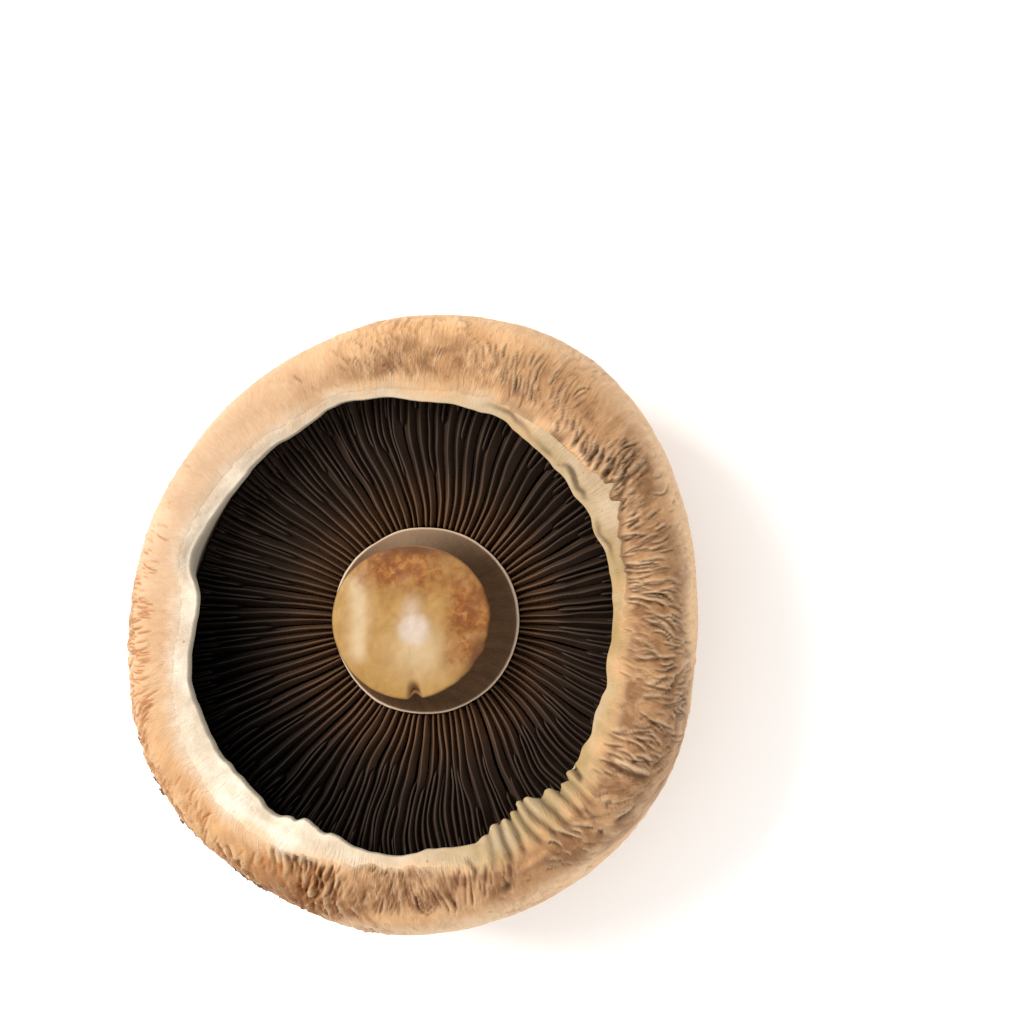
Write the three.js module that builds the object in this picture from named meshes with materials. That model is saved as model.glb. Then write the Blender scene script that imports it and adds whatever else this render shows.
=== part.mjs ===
// A portobello mushroom as picked, lying on the crown of its cap with the gills up.
// Three pieces: the cap with its rolled margin, the ring of gills, and the stem, which is cut off level
// with the margin.
//
// Millimetres, +Z up. The origin is on the surface that the mushroom lies on, under the middle of the cap.

import * as THREE from "three";

// Driving dimensions.
const CAP_RADIUS = 55; // mean radius where the cap is widest
const CAP_HEIGHT = 38; // from the crown to the top of the rolled margin
const MOUTH_RADIUS = 41; // mean radius of the margin's inner edge, which frames the gills
const STEM_RADIUS = 16.7; // of the stem below the gills' edges
const CUT_RADIUS = 14.3; // of the stem's cut end
const FLESH_THICKNESS = 18; // of the cap over its crown, up to the root of the stem
const STEM_CENTRE = new THREE.Vector2(2.9, 1); // how far the stem stands off the middle of the cap

// The cap.
const REST_RADIUS = 14; // of the flat that the crown has settled into
const WIDEST_HEIGHT = 26;
const GILL_MARGIN = 11; // from the outside of the cap in to the outer ends of the gills
const LIP_DROP = 1.6; // how far the lip's edge curls down from the top of the margin
const LIP_THICKNESS = 2.2;
const MARGIN_WAVE = 1.2; // how much the margin rises and falls on its way round
const GILL_END_HEIGHT = 27; // of the flesh at the outer ends of the gills

// The gills. Every long gill has a short one beside it, which starts part of the way out.
const LONG_GILLS = 100;
const GILL_BASE = 1.5; // thickness of the tissue that joins the gills at their roots
const GILL_INNER_HEIGHT = 26.5; // of a gill's free edge at the stem
const GILL_OUTER_HEIGHT = 28.4; // and at the margin
const GILL_BELLY = 2.4; // how far the free edge stands proud between the two
const SHORT_GILL_START = 0.25; // share of the way from the stem to the margin
const SHORT_GILL_FULL = 0.6;

// The stem.
const COLLAR_HEIGHT = 26.8; // of the pale ridge where the gills meet the stem
const COLLAR_RADIUS = 17.3;
const CUT_HEIGHT = 37.6;
const CUT_DOME = 0.9; // how far the middle of the cut end stands above its edge
const STEM_LEAN = new THREE.Vector2(-0.136, -0.02); // drift sideways for each millimetre above the collar

const GAP = 0.3; // left between neighbouring pieces
const CAP_STEPS = 72;
const STEM_STEPS = 48;
const CURVE_STEPS = 6;
const GILL_STEPS = 4 * LONG_GILLS; // a long crest, a valley, a short crest and a valley

// How far the cap and its mouth reach from the middle of the cap, in equal steps round from +X towards +Y,
// as shares of their mean radii. The mouth is pinched where the margin folds inwards, five sixths of the
// way round.
const CAP_SHAPE = [0.967, 1.027, 1.084, 1.046, 0.98, 0.945, 0.957, 1.005, 1.007, 1.036, 1.02, 1.008];
const MOUTH_SHAPE = [
  0.941, 0.963, 0.976, 0.981, 0.998, 1.012, 1.022, 1.034, 1.01, 1.009, 1.005, 0.992,
  0.959, 1.017, 1.029, 1.015, 0.985, 1.012, 1.027, 1.014, 0.954, 1.002, 0.976, 0.951,
];

// The smooth value at an angle between shares given at equal steps round a full turn.
function around(shares, angle) {
  const at = (angle / (2 * Math.PI)) * shares.length;
  const step = Math.floor(at);
  const t = at - step;
  const [a, b, c, d] = [-1, 0, 1, 2].map((k) => shares[(step + k + shares.length) % shares.length]);
  return b + 0.5 * t * (c - a + t * (2 * a - 5 * b + 4 * c - d + t * (3 * (b - c) + d - a)));
}

const capRadius = (angle) => CAP_RADIUS * around(CAP_SHAPE, angle);
const mouthRadius = (angle) => MOUTH_RADIUS * around(MOUTH_SHAPE, angle);
const gillEndRadius = (angle) => capRadius(angle) - GILL_MARGIN;

// How far the margin rises or falls at an angle.
function marginLift(angle) {
  return MARGIN_WAVE * (0.6 * Math.sin(2 * angle + 0.7) + 0.4 * Math.sin(3 * angle - 1));
}

// A point of the flesh that carries the gills: share runs from 0 at the stem to 1 at the gills' outer ends.
function bed(share, angle) {
  const radius = THREE.MathUtils.lerp(STEM_RADIUS + GAP, gillEndRadius(angle), share);
  const rise = GILL_END_HEIGHT + marginLift(angle) - FLESH_THICKNESS;
  return new THREE.Vector2(radius, FLESH_THICKNESS + rise * share ** 3);
}

const BED_SHARES = [1, 0.78, 0.48, 0];

// The outline of the cap in the half-plane at an angle: out along the underside of the dome, over the
// rolled margin, round the lip, down the wall behind it, and back along the flesh to the axis.
function capSection(angle) {
  const widest = capRadius(angle);
  const mouth = mouthRadius(angle);
  const lift = marginLift(angle);
  const top = CAP_HEIGHT + lift;
  const middle = WIDEST_HEIGHT + 0.5 * lift;
  const ridge = THREE.MathUtils.lerp(widest, mouth, 0.5);
  const lip = top - LIP_DROP;
  const underLip = lip - LIP_THICKNESS;
  const gillEnd = bed(1, angle);
  const outline = new THREE.Path();
  outline.moveTo(0, 0);
  outline.lineTo((REST_RADIUS * widest) / CAP_RADIUS, 0);
  outline.bezierCurveTo(0.64 * widest, 0, 0.98 * widest, 0.4 * middle, widest, middle);
  outline.bezierCurveTo(widest + 0.2, middle + 7, ridge + 5, top, ridge, top);
  outline.bezierCurveTo(ridge - 4, top, mouth + 0.6, lip + 0.6, mouth, lip);
  outline.bezierCurveTo(mouth - 0.4, underLip, mouth + 1.2, underLip - 1, gillEnd.x, gillEnd.y + 2);
  const floor = BED_SHARES.map((share) => bed(share, angle));
  return [...outline.getPoints(CURVE_STEPS), ...floor, new THREE.Vector2(0, FLESH_THICKNESS)];
}

// The height of a gill's free edge at a share of its length.
function gillEdge(share, angle) {
  const straight = THREE.MathUtils.lerp(GILL_INNER_HEIGHT, GILL_OUTER_HEIGHT + marginLift(angle), share);
  return straight + GILL_BELLY * Math.sin(Math.PI * share ** 0.8);
}

// The gill ring's section at a step round it, which falls on a crest or in a valley.
function gillSection(angle, step) {
  const inner = STEM_RADIUS + 2 * GAP;
  const outer = gillEndRadius(angle) - GAP;
  const place = (share, height) => new THREE.Vector2(THREE.MathUtils.lerp(inner, outer, share), height);
  const root = (share) => bed(share, angle).y + GAP;
  const crest = [0, 0.16, 0.36, 0.65, 1].map((share) => {
    const valley = root(share) + GILL_BASE;
    if (step % 2 === 1) return place(share, valley);
    const grown = step % 4 === 0 ? 1 : THREE.MathUtils.smoothstep(share, SHORT_GILL_START, SHORT_GILL_FULL);
    return place(share, THREE.MathUtils.lerp(valley, gillEdge(share, angle), grown));
  });
  const underside = BED_SHARES.map((share) => place(share, root(share)));
  return [...underside.reverse(), ...crest.reverse(), underside[0].clone()];
}

// The stem's section: its root on the cap's flesh, the collar at the gills, the taper and the domed cut.
function stemSection(angle) {
  const cut = CUT_RADIUS * (1 + 0.02 * Math.sin(2 * angle + 1) + 0.015 * Math.sin(3 * angle));
  const outline = new THREE.Path();
  outline.moveTo(0, FLESH_THICKNESS);
  outline.lineTo(STEM_RADIUS, FLESH_THICKNESS);
  outline.lineTo(STEM_RADIUS, COLLAR_HEIGHT);
  outline.lineTo(COLLAR_RADIUS, COLLAR_HEIGHT + 0.3);
  outline.lineTo(COLLAR_RADIUS - 0.4, COLLAR_HEIGHT + 0.7);
  outline.bezierCurveTo(15.6, COLLAR_HEIGHT + 3, cut + 0.6, CUT_HEIGHT - 3, cut, CUT_HEIGHT - 0.6);
  outline.lineTo(cut - 0.8, CUT_HEIGHT);
  const crown = CUT_HEIGHT + CUT_DOME;
  outline.bezierCurveTo(0.6 * cut, CUT_HEIGHT + 0.5, 0.3 * cut, crown, 0, crown);
  return outline.getPoints(4);
}

// A closed solid whose section in the half-plane changes as it goes round the Z axis.
// The lathe gives its faces, and each of its points then moves to where the section at its angle has it.
// Its middle drifts with the stem, out as far as the mouth.
function loft(section, steps) {
  const geometry = new THREE.LatheGeometry(section(0, 0), steps);
  const position = geometry.attributes.position;
  const rows = position.count / (steps + 1);
  for (let column = 0; column <= steps; column++) {
    const step = column % steps;
    const angle = (2 * Math.PI * step) / steps;
    section(angle, step).forEach((point, row) => {
      const drift = 1 - THREE.MathUtils.smoothstep(point.x, COLLAR_RADIUS + GAP, MOUTH_RADIUS);
      const x = point.x * Math.cos(angle) + drift * STEM_CENTRE.x;
      const y = point.x * Math.sin(angle) + drift * STEM_CENTRE.y;
      position.setXYZ(column * rows + row, x, y, point.y);
    });
  }
  return geometry;
}

// Carries the part of a shape that is above a height sideways, the further the higher.
function leanAbove(geometry, height, lean) {
  const position = geometry.attributes.position;
  for (let i = 0; i < position.count; i++) {
    const above = Math.max(0, position.getZ(i) - height);
    position.setXY(i, position.getX(i) + lean.x * above, position.getY(i) + lean.y * above);
  }
}

function piece(name, geometry, color, roughness) {
  const mesh = new THREE.Mesh(geometry, new THREE.MeshStandardMaterial({ color, roughness, metalness: 0 }));
  mesh.name = name;
  return mesh;
}

const cap = piece("cap", loft(capSection, CAP_STEPS), 0xd0a06a, 0.75);

const gills = piece("gills", loft(gillSection, GILL_STEPS), 0x3a281c, 0.9);

const stem = piece("stem", loft(stemSection, STEM_STEPS), 0xd9ae70, 0.7);
leanAbove(stem.geometry, COLLAR_HEIGHT + 1, STEM_LEAN);

const mushroom = new THREE.Group();
mushroom.add(cap, gills, stem);

export default mushroom;
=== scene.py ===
"""A portobello mushroom that lies on the crown of its cap with the gills up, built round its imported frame.

Shapes are worked out in millimetres round the middle of the cap, with angles from +X towards +Y, and become
metres when a mesh is written. A place on the cap is an angle and a distance "along" its surface from the
lip's edge: positive outwards over the margin and down to the crown, negative down the wall to the gills.
"""

import math

import bmesh
import bpy
import numpy as np
from mathutils import Matrix, Vector


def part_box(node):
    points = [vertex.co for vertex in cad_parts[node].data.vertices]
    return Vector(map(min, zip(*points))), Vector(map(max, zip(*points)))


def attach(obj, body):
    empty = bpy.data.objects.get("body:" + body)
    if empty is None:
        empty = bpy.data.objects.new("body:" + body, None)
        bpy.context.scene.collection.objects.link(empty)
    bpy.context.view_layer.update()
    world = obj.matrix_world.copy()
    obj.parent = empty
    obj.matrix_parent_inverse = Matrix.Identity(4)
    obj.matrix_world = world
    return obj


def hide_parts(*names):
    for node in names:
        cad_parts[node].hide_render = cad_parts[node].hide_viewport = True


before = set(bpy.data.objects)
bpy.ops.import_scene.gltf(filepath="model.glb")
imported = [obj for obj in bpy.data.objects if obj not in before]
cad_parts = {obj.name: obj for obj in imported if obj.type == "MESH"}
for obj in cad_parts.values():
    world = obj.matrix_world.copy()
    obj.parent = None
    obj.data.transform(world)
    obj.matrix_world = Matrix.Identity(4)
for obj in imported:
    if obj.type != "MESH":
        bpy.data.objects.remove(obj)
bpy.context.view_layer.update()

MM = 0.001
TURN = 2 * math.pi

# ---------------------------------------------------------------- sizes, from the frame's solids

cap_low, cap_high = (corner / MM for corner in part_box("cap"))
_, gills_high = (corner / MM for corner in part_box("gills"))
stem_low, stem_high = (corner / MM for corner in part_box("stem"))

CAP_RADIUS = 0.4792 * (cap_high.y - cap_low.y)  # mean, where the cap is widest
MOUTH_RADIUS = 0.7455 * CAP_RADIUS  # mean, to the lip's edge
MARGIN_WAVE = 1.2  # how much the margin rises and falls on its way round
CAP_HEIGHT = cap_high.z - 0.874 * MARGIN_WAVE
WIDEST_HEIGHT = 0.684 * CAP_HEIGHT
FLESH_THICKNESS = stem_low.z
GILL_END_HEIGHT = WIDEST_HEIGHT + 1
GILL_MARGIN = 11  # from the outside of the cap in to the outer ends of the gills
REST_RADIUS = 14  # of the flat that the crown has settled into
LIP_DROP = 1.6  # how far the lip's edge curls down from the top of the margin
LIP_THICKNESS = 2.2

COLLAR_RADIUS = (stem_high.x - stem_low.x) / 2
STEM_RADIUS = COLLAR_RADIUS - 0.6  # below the collar
CUT_RADIUS = 14.3
CUT_HEIGHT = stem_high.z - 0.9
COLLAR_HEIGHT = CUT_HEIGHT - 10.8
STEM_CENTRE = (stem_low + stem_high) / 2
STEM_LEAN = Vector((-0.136, -0.02))  # sideways drift for each millimetre above the collar

# How far the cap and its mouth reach from the middle, in equal steps round, as shares of their mean radii.
CAP_SHAPE = [0.967, 1.027, 1.084, 1.046, 0.98, 0.945, 0.957, 1.005, 1.007, 1.036, 1.02, 1.008]
MOUTH_SHAPE = [
    0.941, 0.963, 0.976, 0.981, 0.998, 1.012, 1.022, 1.034, 1.01, 1.009, 1.005, 0.992,
    0.959, 1.017, 1.029, 1.015, 0.985, 1.012, 1.027, 1.014, 0.954, 1.002, 0.976, 0.951,
]

# Where the lip departs from that outline: direction in degrees, reach to each side, and how far inwards.
LIP_STEPS = [
    (25, 6, 0.7), (37, 5, 0.6), (65, 9, -0.8), (84, 10, 0.5), (118, 10, 0.6), (140, 20, 0.8),
    (162, 9, -0.7), (172, 8, 0.8), (176, 12, 0.5), (205, 24, 0.8), (221, 9, 0.4), (235, 8, -1.6),
    (244, 6, 0.2), (252, 6, 0.8), (277, 9, 0.9), (290, 6, -0.8), (300, 5, -0.9), (305, 5, 0.6),
    (315, 4, -0.7), (320, 5, 0.6), (326, 5, 0.8), (336, 8, 0.7), (350, 7, 1.0),
]
WALL_LEAN = [0, 0, 0.2, 0.3, 0.6, 0.9, 0.9, 1.1, 1.0, 0.6, 0.2, 0]  # inwards under the lip, all round

# Directions, in degrees.
FOLD_DIRECTION = 305  # where the margin folds inwards
TORN_DIRECTION = 243  # where the veil came away
BROWN_CLUSTER = 246  # where the fibres have torn and browned
NOTCH_DIRECTION = 274  # where the stem's cut end is torn


# ---------------------------------------------------------------- curves and noise

def around(values, angle):
    """The smooth value at each angle, between values given at equal steps round a full turn."""
    values = np.asarray(values, float)
    at = np.mod(angle / TURN, 1) * len(values)
    step = np.floor(at).astype(int)
    t = at - step
    a, b, c, d = (values[(step + k) % len(values)] for k in (-1, 0, 1, 2))
    return b + 0.5 * t * (c - a + t * (2 * a - 5 * b + 4 * c - d + t * (3 * (b - c) + d - a)))


def smooth(low, high, value):
    """Goes smoothly from 0 at low to 1 at high, which may be the smaller of the two."""
    t = np.clip((value - low) / (high - low), 0, 1)
    return t * t * (3 - 2 * t)


def between(low, high, value, soft):
    """1 from low to high, falling to 0 over a soft edge on both sides."""
    return smooth(low - soft, low + soft, value) * (1 - smooth(high - soft, high + soft, value))


def facing(angle, centre, width):
    """1 at a direction given in degrees, falling smoothly to 0 at width degrees from it."""
    off = np.abs((np.degrees(angle) - centre + 180) % 360 - 180)
    return 1 - smooth(0, 1, off / width)


def woven(lattice, x, y):
    """Smooth noise from -1 to 1, between the random values of a lattice that repeats both ways."""
    columns, rows = lattice.shape
    i, j = np.floor(x).astype(int), np.floor(y).astype(int)
    fx, fy = (f * f * (3 - 2 * f) for f in (x - i, y - j))
    here, beside, below, above = i % columns, (i + 1) % columns, j % rows, (j + 1) % rows
    low = lattice[here, below] * (1 - fx) + lattice[beside, below] * fx
    high = lattice[here, above] * (1 - fx) + lattice[beside, above] * fx
    return low * (1 - fy) + high * fy


def field(seed, columns, length, angle, along):
    """Noise from -1 to 1 over the cap: so many lumps in a turn, each so many millimetres along.

    The seed picks the pattern.
    """
    lattice = np.random.default_rng(seed).uniform(-1, 1, (columns, 97))
    return woven(lattice, np.mod(angle / TURN, 1) * columns, np.asarray(along) / length + 48)


def lumps(seed, size, x, y):
    """Noise across a flat face: a fine layer over lumps of a size in millimetres."""
    lattice = np.random.default_rng(seed).uniform(-1, 1, (89, 89))
    fine = woven(lattice, 2.3 * y / size, 2.3 * x / size + 7)
    return 0.65 * woven(lattice, x / size, y / size) + 0.35 * fine


def layered(seed, columns, length, angle, along, octaves=3):
    """Noise with finer and finer lumps laid over the large ones."""
    total, weight = 0, 0
    for octave in range(octaves):
        share, finer = 0.55 ** octave, 2 ** octave
        total = total + share * field(seed + octave, columns * finer, length / finer, angle, along)
        weight += share
    return total / weight


def bezier(a, b, c, d, t):
    """Points of a cubic curve. The handles are pairs of arrays over the angles, t runs along the rings."""
    t = np.asarray(t)[None, :]
    blend = ((1 - t) ** 3, 3 * t * (1 - t) ** 2, 3 * t * t * (1 - t), t ** 3)
    return [sum(np.asarray(p[k])[:, None] * w for p, w in zip((a, b, c, d), blend)) for k in (0, 1)]


def straight(a, b, t):
    """Points of a straight stretch, given as the curve is."""
    third = [[a[k] + (b[k] - a[k]) * share for k in (0, 1)] for share in (1 / 3, 2 / 3)]
    return bezier(a, *third, b, t)


def cap_radius(angle):
    """The cap's reach where it is widest."""
    return CAP_RADIUS * around(CAP_SHAPE, angle)


def mouth_radius(angle):
    """The reach of the mouth's even outline."""
    return MOUTH_RADIUS * around(MOUTH_SHAPE, angle)


def lip_radius(angle):
    """The mouth's real edge: its even outline with the steps, bulges and torn notches of the lip."""
    outwards = 0.30 * layered(51, 40, 30, angle, 0 * angle, 3) + 0.13 * field(52, 150, 30, angle, 0 * angle)
    for direction, width, inwards in LIP_STEPS:
        outwards = outwards - inwards * facing(angle, direction, width)
    torn = facing(angle, TORN_DIRECTION, 15) + 0.8 * facing(angle, FOLD_DIRECTION, 17)
    return mouth_radius(angle) + outwards + torn * layered(53, 130, 30, angle, 0 * angle, 2)


def margin_lift(angle):
    """How far the margin stands above its mean height."""
    return MARGIN_WAVE * (0.6 * np.sin(2 * angle + 0.7) + 0.4 * np.sin(3 * angle - 1))


def drifted(radius, angle):
    """Where a point at a radius and an angle is, once the middle of the cap has followed the stem."""
    drift = 1 - smooth(COLLAR_RADIUS + 0.3, MOUTH_RADIUS, radius)
    return radius * np.cos(angle) + drift * STEM_CENTRE.x, radius * np.sin(angle) + drift * STEM_CENTRE.y


# ---------------------------------------------------------------- meshes

def rolled_grid(bm, columns, rings, wrap):
    """A flat grid that is rolled up into a closed shape and welded along its border.

    Wrap gives a point's place from its two shares of the way over the grid.
    """
    bmesh.ops.create_grid(bm, x_segments=columns, y_segments=rings, size=1)
    border = []
    for point in bm.verts:
        share, rise = (point.co.x + 1) / 2, (point.co.y + 1) / 2
        if min(share, 1 - share, rise, 1 - rise) < 1e-6:
            border.append(point)
        point.co = wrap(share, rise)
    bmesh.ops.remove_doubles(bm, verts=border, dist=1e-5)


def on_ball(share, rise):
    """A ball, from its lower pole to its upper one."""
    out = math.sin(math.pi * rise)
    return out * math.cos(TURN * share), out * math.sin(TURN * share), -math.cos(math.pi * rise)


def on_ring(share, turned):
    """A ring that is closed both ways."""
    out = 2 + math.cos(TURN * turned)
    return out * math.cos(TURN * share), out * math.sin(TURN * share), math.sin(TURN * turned)


def step_of(angle, steps):
    """Which of the equal steps of a turn each angle is on."""
    return np.rint(np.mod(angle / TURN, 1) * steps).astype(int) % steps


def ball_steps(points, columns, rings):
    """Which column and ring of a ball each of its points is on."""
    ring = np.rint(np.arccos(np.clip(-points[:, 2], -1, 1)) / math.pi * rings).astype(int)
    return step_of(np.arctan2(points[:, 1], points[:, 0]), columns), ring


def ring_steps(points, columns, rings):
    """Which column and ring of a ring body each of its points is on."""
    out = np.hypot(points[:, 0], points[:, 1]) - 2
    column = step_of(np.arctan2(points[:, 1], points[:, 0]), columns)
    return column, step_of(np.arctan2(points[:, 2], out), rings)


BALL, RING = (on_ball, ball_steps), (on_ring, ring_steps)


def finish_piece(name, bm, material, node):
    """Turns a mesh into an object that rides on the mushroom's only body, and returns its mesh."""
    mesh = bpy.data.meshes.new(name)
    bm.to_mesh(mesh)
    bm.free()
    mesh.polygons.foreach_set("use_smooth", [True] * len(mesh.polygons))
    mesh.materials.append(material)
    piece = bpy.data.objects.new(name, mesh)
    bpy.context.collection.objects.link(piece)
    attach(piece, "root")
    if node:
        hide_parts(node)
    return mesh


def points_of(mesh):
    """The places of a mesh's points, one in a row."""
    points = np.empty(len(mesh.vertices) * 3)
    mesh.vertices.foreach_get("co", points)
    return points.reshape(-1, 3)


def place_points(mesh, millimetres):
    """Moves a mesh's points to places in millimetres."""
    mesh.vertices.foreach_set("co", (np.asarray(millimetres) * MM).ravel())
    mesh.update()


def paint(mesh, name, values):
    """Stores a value for each vertex, which the material reads by name."""
    layer = mesh.attributes.new(name, "FLOAT", "POINT")
    layer.data.foreach_set("value", np.ascontiguousarray(values, dtype=np.float32).ravel())


def paint_vector(mesh, name, values):
    """The same for three numbers for each vertex."""
    layer = mesh.attributes.new(name, "FLOAT_VECTOR", "POINT")
    layer.data.foreach_set("vector", np.ascontiguousarray(values, dtype=np.float32).ravel())


def shape_piece(name, material, node, kind, rings, grid, marks, grain):
    """Makes a closed piece from a grid of places, columns by rings, with what is painted on each place."""
    wrap, steps_of = kind
    bm = bmesh.new()
    rolled_grid(bm, len(grid), rings, wrap)
    mesh = finish_piece(name, bm, material, node)
    at = steps_of(points_of(mesh), len(grid), rings)
    place_points(mesh, grid[at])
    for mark, values in marks.items():
        paint(mesh, mark, np.clip(values, 0, 1)[at])
    paint_vector(mesh, "grain", grain[at])


def many_balls(name, material, node, count, columns, rings):
    """Makes a piece of equal balls, one behind the other in its points.

    Gives its mesh and the column and ring of each point of a ball.
    """
    first = bmesh.new()
    rolled_grid(first, columns, rings, on_ball)
    one = bpy.data.meshes.new("one_ball")
    first.to_mesh(one)
    first.free()
    bm = bmesh.new()
    for _ in range(count):
        bm.from_mesh(one)
    bpy.data.meshes.remove(one)
    mesh = finish_piece(name, bm, material, node)
    return mesh, *ball_steps(points_of(mesh).reshape(count, -1, 3)[0], columns, rings)


def normals_of(grid):
    """Outward directions on a closed grid of points, columns round by rings from the bottom up."""
    across = np.roll(grid, -1, 0) - np.roll(grid, 1, 0)
    up = np.gradient(grid, axis=1)
    out = np.cross(across, up)
    return out / np.maximum(np.linalg.norm(out, axis=2, keepdims=True), 1e-9)


# ---------------------------------------------------------------- the cap's surface

CAP_COLUMNS = 700
CROWN_RINGS, DOME_RINGS, ROLL_RINGS, LEDGE_RINGS, LIP_RINGS, BED_RINGS = 5, 46, 34, 26, 16, 14
LIP_RING = CROWN_RINGS + DOME_RINGS + ROLL_RINGS + LEDGE_RINGS
CAP_RINGS = LIP_RING + LIP_RINGS + BED_RINGS + 1


def cap_section(angle):
    """The cap's bare outline at each angle: crown, dome, rolled margin, lip, wall, bed of flesh and axis."""
    widest, mouth, lift = cap_radius(angle), lip_radius(angle), margin_lift(angle)
    lean = around(WALL_LEAN, angle)
    top, middle = CAP_HEIGHT + lift, WIDEST_HEIGHT + 0.5 * lift
    ridge, lip = (widest + mouth_radius(angle)) / 2, top - LIP_DROP
    end, end_height = widest - GILL_MARGIN, GILL_END_HEIGHT + lift
    zero = np.zeros_like(angle)
    rest = REST_RADIUS * widest / CAP_RADIUS
    share = [np.arange(1, n + 1) / n for n in (CROWN_RINGS, DOME_RINGS, ROLL_RINGS, LEDGE_RINGS, LIP_RINGS)]
    bed_share = 1 - np.arange(BED_RINGS) / (BED_RINGS - 1)
    bed = [
        (STEM_RADIUS + 0.3 + (end[:, None] - STEM_RADIUS - 0.3) * bed_share),
        FLESH_THICKNESS + (end_height[:, None] - FLESH_THICKNESS) * bed_share ** 3,
    ]
    curves = [
        [zero[:, None], zero[:, None]],
        straight((zero, zero), (rest, zero), share[0]),
        bezier(
            (rest, zero), (0.64 * widest, zero), (0.98 * widest, 0.4 * middle), (widest, middle),
            share[1] ** 0.85,
        ),
        bezier((widest, middle), (widest + 0.2, middle + 7), (ridge + 5, top), (ridge, top), share[2]),
        bezier((ridge, top), (ridge - 4, top), (mouth + 1.1, lip + 0.45), (mouth, lip), share[3]),
        bezier(
            (mouth, lip), (mouth - 0.15 - 0.9 * lean, lip - 1.4),
            (mouth + 1.2 - 1.5 * lean, lip - LIP_THICKNESS - 2), (end, end_height + 2), share[4],
        ),
        bed,
        [zero[:, None], zero[:, None] + FLESH_THICKNESS],
    ]
    return [np.concatenate([curve[k] for curve in curves], axis=1) for k in (0, 1)]


angles = np.arange(CAP_COLUMNS) * TURN / CAP_COLUMNS
radius, height = cap_section(angles)
x, y = drifted(radius, angles[:, None])
bare = np.stack([x, y, height], axis=2)

# How far along each ring is: its mean distance over the surface from the lip's ring.
ring_gaps = np.linalg.norm(np.diff(bare, axis=1), axis=2).mean(0)
travelled = np.concatenate([[0], np.cumsum(ring_gaps)])
from_lip = travelled[LIP_RING] - travelled
ANGLE, FROM_LIP = np.broadcast_arrays(angles[:, None], from_lip[None, :])


# ---------------------------------------------------------------- what the skin does round the cap

# Each list goes round in twelve equal steps, from +X towards +Y. Widths and reaches are in millimetres.
CREAM_WIDTH = [2.4, 4.4, 3.0, 1.9, 2.8, 4.0, 3.0, 5.0, 6.2, 2.2, 6.0, 2.6]  # of the pale flesh at the lip
DULLNESS = [0.95, 0.85, 0.75, 0.55, 0.5, 0.35, 0.15, 0.2, 0.35, 0.55, 0.5, 0.8]  # how grey that flesh is
YELLOWING = [1.0, 0.95, 0.85, 0.45, 0.2, 0.15, 0.1, 0.05, 0.1, 0.35, 1.12, 1.05]  # how yellow it is
YELLOW_REACH = [3.5, 2.0, 1.8, 2.0, 2.0, 2.0, 2.0, 2.0, 2.0, 4.0, 9.0, 5.0]  # how far out it goes
FRAY = [0.25, 1.5, 0.62, 0.1, 0.1, 0.1, 0.1, 0.1, 0.3, 0.5, 0.1, 0.1]  # how ragged the skin's inner edge is
BROWNNESS = [1.35, 1.0, 0.9, 0.8, 0.25, 0.12, 0.1, 0.22, 0.55, 1.55, 1.0, 1.5]  # of the margin's skin
BROWN_REACH = [16, 14, 12, 11, 11, 12, 12, 20, 22, 9.5, 14, 21]  # how far out the brown goes
GOLD = [0.65, 0.6, 0.65, 0.75, 0.3, 0.12, 0.35, 0.6, 0.8, 0.65, 0.65, 0.65]  # how golden the skin is
RUST = [0.0, 0.0, 0.1, 0.2, 0.1, 0.35, 0.6, 0.85, 1.0, 0.5, 0.2, 0.35]  # how orange its outer grooves are
# The outer strip's paleness below is painted light, where more light falls on the margin's outer edge.
PAINTED_EDGE_LIGHT = [0.8, 0.7, 0.6, 0.35, 0.1, 0.05, 0.0, 0.0, 0.0, 1.6, 1.0, 0.5]  # how pale its outer strip is
STROKES = [0.3, 0.5, 0.7, 0.6, 0.15, 0.1, 0.12, 0.2, 0.6, 0.9, 0.45, 0.35]  # how plain its short fibres are
OUTER_STROKES = [0.12, 0.2, 0.25, 0.25, 0.18, 0.25, 0.35, 0.4, 0.6, 0.25, 0.25, 0.3]  # and those further out
WRINKLES = [0.42, 0.36, 0.3, 0.2, 0.12, 0.1, 0.12, 0.14, 0.2, 0.3, 0.3, 0.42]  # how deep it is wrinkled
OUTER_WRINKLES = [0.1, 0.12, 0.14, 0.12, 0.1, 0.2, 0.4, 0.36, 0.4, 0.12, 0.14, 0.24]  # and further out
SLANT = [0.3, 0.1, 0.0, 0.0, 0.0, 0.0, 0.1, 0.4, 1.0, 0.3, 0.0, 1.0]  # how far its strands lean


def fray_at(angle):
    """How ragged the skin's inner edge is, from 0 where it blends into the flesh to 1 where it is torn."""
    return around(FRAY, angle).clip(0, 1)


def torn_share(fray):
    """0 where the skin's inner edge blends into the flesh, 1 where it stands on it as a torn edge."""
    return smooth(0.5, 0.9, fray)


def skin_start(angle):
    """How far from the lip the skin begins: toothed where it has torn, even elsewhere."""
    level = 0 * angle
    teeth = 2.0 * (0.5 - np.abs(field(11, 104, 30, angle, level))) + 0.7 * field(12, 260, 30, angle, level)
    teeth = teeth * smooth(-0.5, 0.3, field(14, 24, 30, angle, level))
    return around(CREAM_WIDTH, angle) + around(FRAY, angle) * (teeth + 0.9 * field(13, 26, 40, angle, level))


def strand(angle, along):
    """The angle at which the strand that passes here left the lip: some strands lean as they go outwards."""
    out = np.clip(along - 7, 0, 15)
    return angle - around(SLANT, angle) * out / CAP_RADIUS + 0.020 * layered(3, 40, 5, angle, along, 2)


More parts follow.
